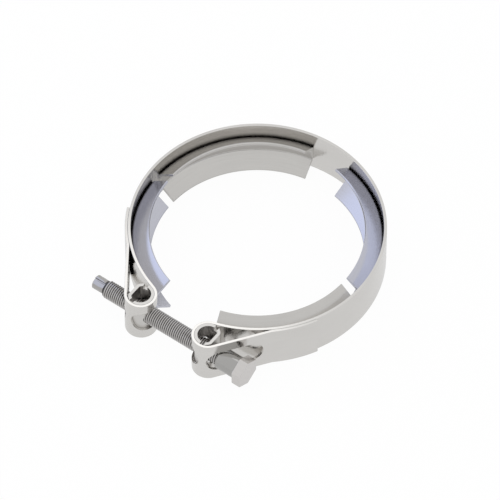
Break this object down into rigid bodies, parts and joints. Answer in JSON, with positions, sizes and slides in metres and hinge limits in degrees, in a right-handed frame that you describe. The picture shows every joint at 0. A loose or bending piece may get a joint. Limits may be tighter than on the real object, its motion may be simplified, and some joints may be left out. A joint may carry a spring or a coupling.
{
  "type": "v band clamp",
  "caption": "Round sheet-steel clamp whose V-shaped retainers grip a pair of flanges, drawn shut by a long hex bolt through two trunnions.",
  "frame": {"origin": "centre of the ring at mid height, on the axis of the flanges it grips", "axes": "+Z along the ring's axis, +X along the bolt towards its hex head, -Y towards the open gap between the trunnions"},
  "size_m": [0.112, 0.1225, 0.022],
  "materials": {
    "band_steel": "satin stainless strip with bright sheared edges",
    "retainer_steel": "satin roll-formed stainless",
    "trunnion_steel": "satin stainless",
    "bolt_steel": "rolled-thread stainless bolt",
    "spacer_steel": "turned stainless"
  },
  "bodies": {
    "clamp": {"band": "band_steel", "retainer_rear_right": "retainer_steel", "retainer_rear_left": "retainer_steel", "retainer_front_right": "retainer_steel", "retainer_front_left": "retainer_steel", "threaded_trunnion": "trunnion_steel", "plain_trunnion": "trunnion_steel"},
    "sleeve": {"spacer_sleeve": "spacer_steel"},
    "bolt": {"clamp_bolt": "bolt_steel"}
  },
  "joints": [
    {"name": "bolt_travel", "type": "slide", "parent": "clamp", "child": "sleeve", "axis": [1, 0, 0], "range_m": [-0.0026, 0.0201]},
    {"name": "bolt_turn", "type": "hinge", "parent": "sleeve", "child": "bolt", "pos_m": [0, -0.05931, 0], "axis": [1, 0, 0], "range_deg": [-930, 7200]}
  ],
  "couplings": [
    {"joint": "bolt_travel", "follows": "bolt_turn", "m_per_rad": 0.00015915}
  ]
}
